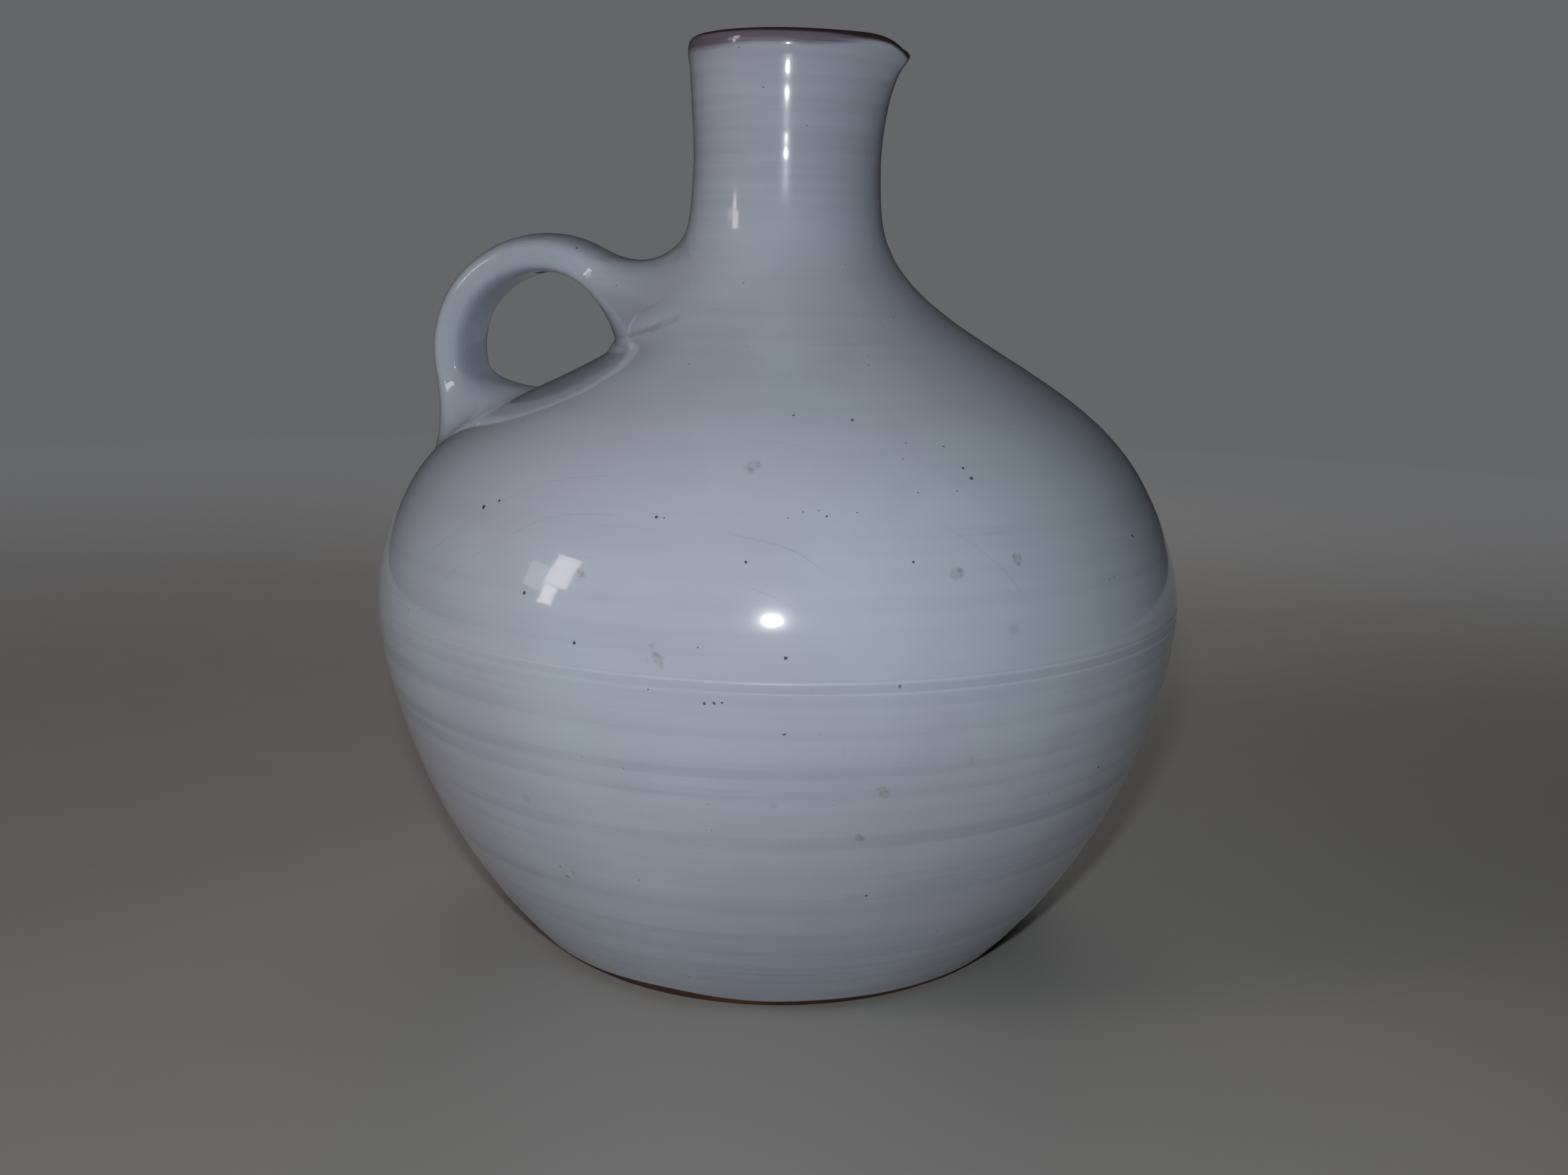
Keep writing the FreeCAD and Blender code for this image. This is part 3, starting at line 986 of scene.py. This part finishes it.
def by_face(values, phi, haste=1.0):
    """A value that goes from the outer face (phi 0) through the sides to the inner face.

    A haste under 1 takes on the inner face's value sooner past the sides.
    """
    outer, side, inner = values
    c = np.cos(phi)
    return side + (outer - side) * np.maximum(c, 0) + (inner - side) * np.maximum(-c, 0) ** haste


def section(s, phi, grow):
    """Points of the strap's section at an arc length; phi 0 is the face away from the hole."""
    r, z = STRAP.at(s)
    inward_r, inward_z = STRAP.normal(s)
    power = np.where(np.cos(phi) > 0, 2 / STRAP_SQUARENESS, 2 / STRAP_INNER_SQUARENESS)
    c = np.sign(np.cos(phi)) * np.abs(np.cos(phi)) ** power
    d = np.sign(np.sin(phi)) * np.abs(np.sin(phi)) ** power
    lump = 0.12 * np.sin(s / 7.0 + 2 * phi) + 0.10 * np.sin(s / 15.0 - phi)
    thick = STRAP_THICKNESS / 2 + grow + lump
    wide = STRAP_WIDTH / 2 + grow + lump * 0.5
    across = -thick * c
    return np.stack([-(r + across * inward_r), wide * d, z + across * inward_z], -1)


def foot_point(foot, phi, spread, offset):
    """Point of the pot's skin on one end's footprint, or beyond it for a spread over 1."""
    half_angle, outer, side, inner = foot
    height = by_face((outer, side, inner), phi, FOOT_HASTE)
    angle = 180 - half_angle * spread * np.sin(phi)
    return pot_at_height(angle, side + (height - side) * spread, offset)


def flare(s, towards, phi, foot, leave, land, grow):
    """Rows from the strap's section at s out to the footprint: one smooth curve per column."""
    start = section(s, phi, grow)
    dr, dz = STRAP.direction(s)
    along = towards * np.array([-dr, 0, dz])
    finish = foot_point(foot, phi, 1.0, grow - FOOT_DIVE)
    outward = foot_point(foot, phi, 1.04, GLAZE) - foot_point(foot, phi, 1.0, GLAZE)
    outward = outward / np.linalg.norm(outward, axis=-1, keepdims=True)
    leave = by_face(leave, phi)[:, None]
    land = by_face(land, phi, LAND_HASTE)[:, None]
    near_end = foot_point(foot, phi, 1.0, grow + LAND_ABOVE) - outward * land
    near_start = start + along * leave
    rows = []
    for t in 1 - (1 - np.linspace(0, 1, FLARE_ROWS)) ** FLARE_CROWDING:
        u = 1 - t
        nearer = u ** 3 * start + 3 * u * u * t * near_start
        rows.append(nearer + 3 * u * t * t * near_end + t ** 3 * finish)
    return np.array(rows)


def handle_rows(grow):
    """Rows of the handle's surface from the upper footprint to the lower: three sets."""
    phi = np.arange(STRAP_COLUMNS) * TURN_RAD / STRAP_COLUMNS
    first = STRAP.nearest(STRAP_FROM)
    last = STRAP.nearest(STRAP_TO)
    upper = flare(first, -1, phi, UPPER_FOOT, UPPER_LEAVE, UPPER_LAND, grow)[::-1]
    lower = flare(last, 1, phi, LOWER_FOOT, LOWER_LEAVE, LOWER_LAND, grow)
    strap = np.array([section(s, phi, grow) for s in np.linspace(first, last, STRAP_ROWS)])
    return upper, strap, lower


# Dirt and painted shade on the inner face where each end meets the pot: half width, how much
INNER_CREASES = ((2.6, 0.9), (2.0, 0.8))
# How much thin glaze and painted shade darken the strap's edges and its outer face
EDGE_THIN_AND_SHADE = 0.22
CROWN_THIN_AND_SHADE = 0.36
# Painted shade on the inner face and at the lower end: how much, and how far up these change
PAINTED_SHADE_INSIDE = 1.6
PAINTED_SHADE_INSIDE_FROM = (8.0, 20.0)
PAINTED_SHADE_END = 1.9
PAINTED_SHADE_END_TO = (3.0, 18.0)


def make_handle_skin(material):
    """The glaze over the strap and both ends, flared out onto the pot."""
    upper, strap, lower = handle_rows(GLAZE)
    outer = np.concatenate([upper[:-1], strap, lower[1:]])
    upper_in, strap_in, lower_in = handle_rows(0.0)
    inner = np.concatenate([upper_in[:-1], strap_in, lower_in[1:]])
    grid = np.concatenate([outer, inner[::-1]])

    phi = np.arange(STRAP_COLUMNS) * TURN_RAD / STRAP_COLUMNS
    inner_side = soft_step(-np.cos(phi), -0.35, 0.55)[None, :]
    from_top = np.linalg.norm(outer - outer[0], axis=-1)
    from_bottom = np.linalg.norm(outer - outer[-1], axis=-1)
    (top_width, top_dirt_and_shade), (low_width, low_dirt_and_shade) = INNER_CREASES
    # Dirt and painted shade on the inner face where each end meets the pot
    crease_dirt_and_shade = bell(from_top, top_width) * top_dirt_and_shade + bell(from_bottom, low_width) * low_dirt_and_shade
    crease_dirt_and_shade = inner_side * crease_dirt_and_shade
    edges = np.abs(np.sin(2 * phi))[None, :] ** 6
    crown = soft_step(np.cos(phi), 0.55, 0.95)[None, :] * soft_step(from_bottom, 4.0, 22.0)
    # Painted shade on the inner face and at the lower end
    shaded_end = PAINTED_SHADE_END * (1 - soft_step(from_bottom, *PAINTED_SHADE_END_TO))
    pooled_and_shade = PAINTED_SHADE_INSIDE * inner_side * soft_step(from_bottom, *PAINTED_SHADE_INSIDE_FROM) + shaded_end
    # Thin glaze and painted shade on the strap's edges and outer face
    thin_glaze_and_shade = np.maximum(EDGE_THIN_AND_SHADE * edges, CROWN_THIN_AND_SHADE * crown)
    blank = np.zeros(crease_dirt_and_shade.shape)
    outside = {"crease_dirt_and_shade": crease_dirt_and_shade, "thin_glaze_and_shade": thin_glaze_and_shade, "pooled_and_shade": pooled_and_shade}
    values = {key: np.concatenate([value, blank]) for key, value in outside.items()}
    name, slot, node = "handle_glaze_skin", "handle_glaze", "handle_glaze"
    make_piece(name, grid, [node], material, values=values)


def make_handle_clay(material):
    """The clay under it: the strap and the two smeared ends."""
    upper, strap, lower = handle_rows(-CLAY_GAP)
    ends = []
    for foot in (UPPER_FOOT, LOWER_FOOT):
        side = np.array([foot[2]])
        ends.append(pot_at_height(np.array([180.0]), side, -CAP_SINK)[0])
    parts = [
        ("clay_upper_join", upper, [ends[0], upper[-1].mean(0)], "upper_handle_join"),
        ("clay_strap", strap, [strap[0].mean(0), strap[-1].mean(0)], "handle"),
        ("clay_lower_join", lower, [lower[0].mean(0), ends[1]], "lower_handle_join"),
    ]
    for name, grid, caps, node in parts:
        make_piece(name, grid, [node], material, False, np.array(caps))


# ---------------------------------------------------------------- stage

FLOOR_RADIUS = 1.5
FLOOR_CORNERS = 48
CAMERA_AT = Vector((0.12706, -0.50960, 0.2308))
CAMERA_AZIMUTH = 14.0
CAMERA_YAW = -0.22
CAMERA_PITCH = 12.26
CAMERA_ROLL = 1.19
SENSOR = 36.0
LENS = 34.81
CLIP_START = 0.01
AMBIENT = 0.13

COOL = (0.93, 0.98, 1.0)
ROSY = (1.0, 0.90, 0.90)
WARM = (1.0, 0.87, 0.80)
NEUTRAL = (1.0, 0.98, 0.97)
LIT_PLACE = (0.0, 0.0, 0.13)
LAMP_AT = CAMERA_AT + Vector((-0.012, -0.004, 0.064))
# Lights: name, shape, place, width and height, watts, colour, seen in the glaze
LIGHTS = [
    ("near_lamp", "DISK", LAMP_AT, (0.024, 0.024), 0.92, COOL, True),
    ("soft_window", "SQUARE", (-1.03, -0.91, 0.67), (0.5, 0.5), 2.1, WARM, False),
    ("window_upper", "RECTANGLE", (-1.03, -0.91, 0.76), (0.19, 0.25), 0.78, ROSY, True),
    ("window_lower", "RECTANGLE", (-1.06, -0.90, 0.55), (0.11, 0.14), 0.30, ROSY, True),
    ("window_glow", "RECTANGLE", (-1.17, -0.80, 0.66), (0.17, 0.18), 0.14, ROSY, True),
    ("soft_back", "SQUARE", (-0.2, 1.5, 0.75), (1.2, 1.2), 7.8, NEUTRAL, False),
]


def make_floor(material):
    turns = [TURN_RAD * i / FLOOR_CORNERS for i in range(FLOOR_CORNERS)]
    rim = [(math.cos(a) * FLOOR_RADIUS, math.sin(a) * FLOOR_RADIUS, 0.0) for a in turns]
    mesh = bpy.data.meshes.new("table_top")
    mesh.from_pydata(rim, [], [range(FLOOR_CORNERS)])
    mesh.materials.append(material)
    floor = bpy.data.objects.new("table_top", mesh)
    bpy.context.scene.collection.objects.link(floor)


def make_camera():
    yaw, pitch, roll = (math.radians(a) for a in (CAMERA_YAW, CAMERA_PITCH, CAMERA_ROLL))
    up = Vector((0, 0, 1))
    right = Vector((math.cos(yaw), math.sin(yaw), 0))
    level = Vector((-math.sin(yaw), math.cos(yaw), 0))
    ahead = level * math.cos(pitch) - up * math.sin(pitch)
    above = up * math.cos(pitch) + level * math.sin(pitch)
    x_axis = right * math.cos(roll) + above * math.sin(roll)
    y_axis = above * math.cos(roll) - right * math.sin(roll)
    turn = Matrix((x_axis, y_axis, -ahead)).transposed().to_4x4()
    data = bpy.data.cameras.new("camera")
    data.sensor_width = SENSOR
    data.lens = LENS
    data.clip_start = CLIP_START
    camera = bpy.data.objects.new("camera", data)
    spin = Matrix.Rotation(math.radians(CAMERA_AZIMUTH), 4, "Z")
    camera.matrix_world = Matrix.Translation(CAMERA_AT) @ spin @ turn
    bpy.context.scene.collection.objects.link(camera)
    bpy.context.scene.camera = camera


def make_lights():
    for name, shape, at, size, watts, colour, shiny in LIGHTS:
        data = bpy.data.lights.new(name, "AREA")
        data.shape = shape
        data.size, data.size_y = size
        data.energy = watts
        data.color = colour
        light = bpy.data.objects.new(name, data)
        light.location = at
        aim = Vector(LIT_PLACE) - Vector(at)
        light.rotation_euler = aim.to_track_quat("-Z", "Y").to_euler()
        light.visible_glossy = shiny
        light.visible_camera = False
        bpy.context.scene.collection.objects.link(light)


def make_world():
    """The wall's grey where the camera sees it, and a dimmer light of that colour all round."""
    world = bpy.data.worlds.new("studio")
    world.use_nodes = True
    tree = world.node_tree
    background = tree.nodes["Background"]
    background.inputs[0].default_value = (*WALL_GREY, 1.0)
    seen = tree.nodes.new("ShaderNodeLightPath")
    level = tree.nodes.new("ShaderNodeMapRange")
    level.inputs["To Min"].default_value = AMBIENT
    level.inputs["To Max"].default_value = 1.0
    tree.links.new(seen.outputs["Is Camera Ray"], level.inputs["Value"])
    tree.links.new(level.outputs[0], background.inputs[1])
    bpy.context.scene.world = world


# ---------------------------------------------------------------- build

outer_glaze = glaze_material("tin_white_glaze", True)
handle_glaze = glaze_material("tin_white_handle_glaze", False)
lining_glaze = glaze_material("tin_white_lining", False)
clay = clay_material()

make_clay_pot(clay)
make_outer_skin(outer_glaze)
make_lining(lining_glaze)
make_handle_clay(clay)
make_handle_skin(handle_glaze)
make_floor(floor_material())
make_camera()
make_lights()
make_world()
bpy.context.scene.view_settings.view_transform = "Standard"
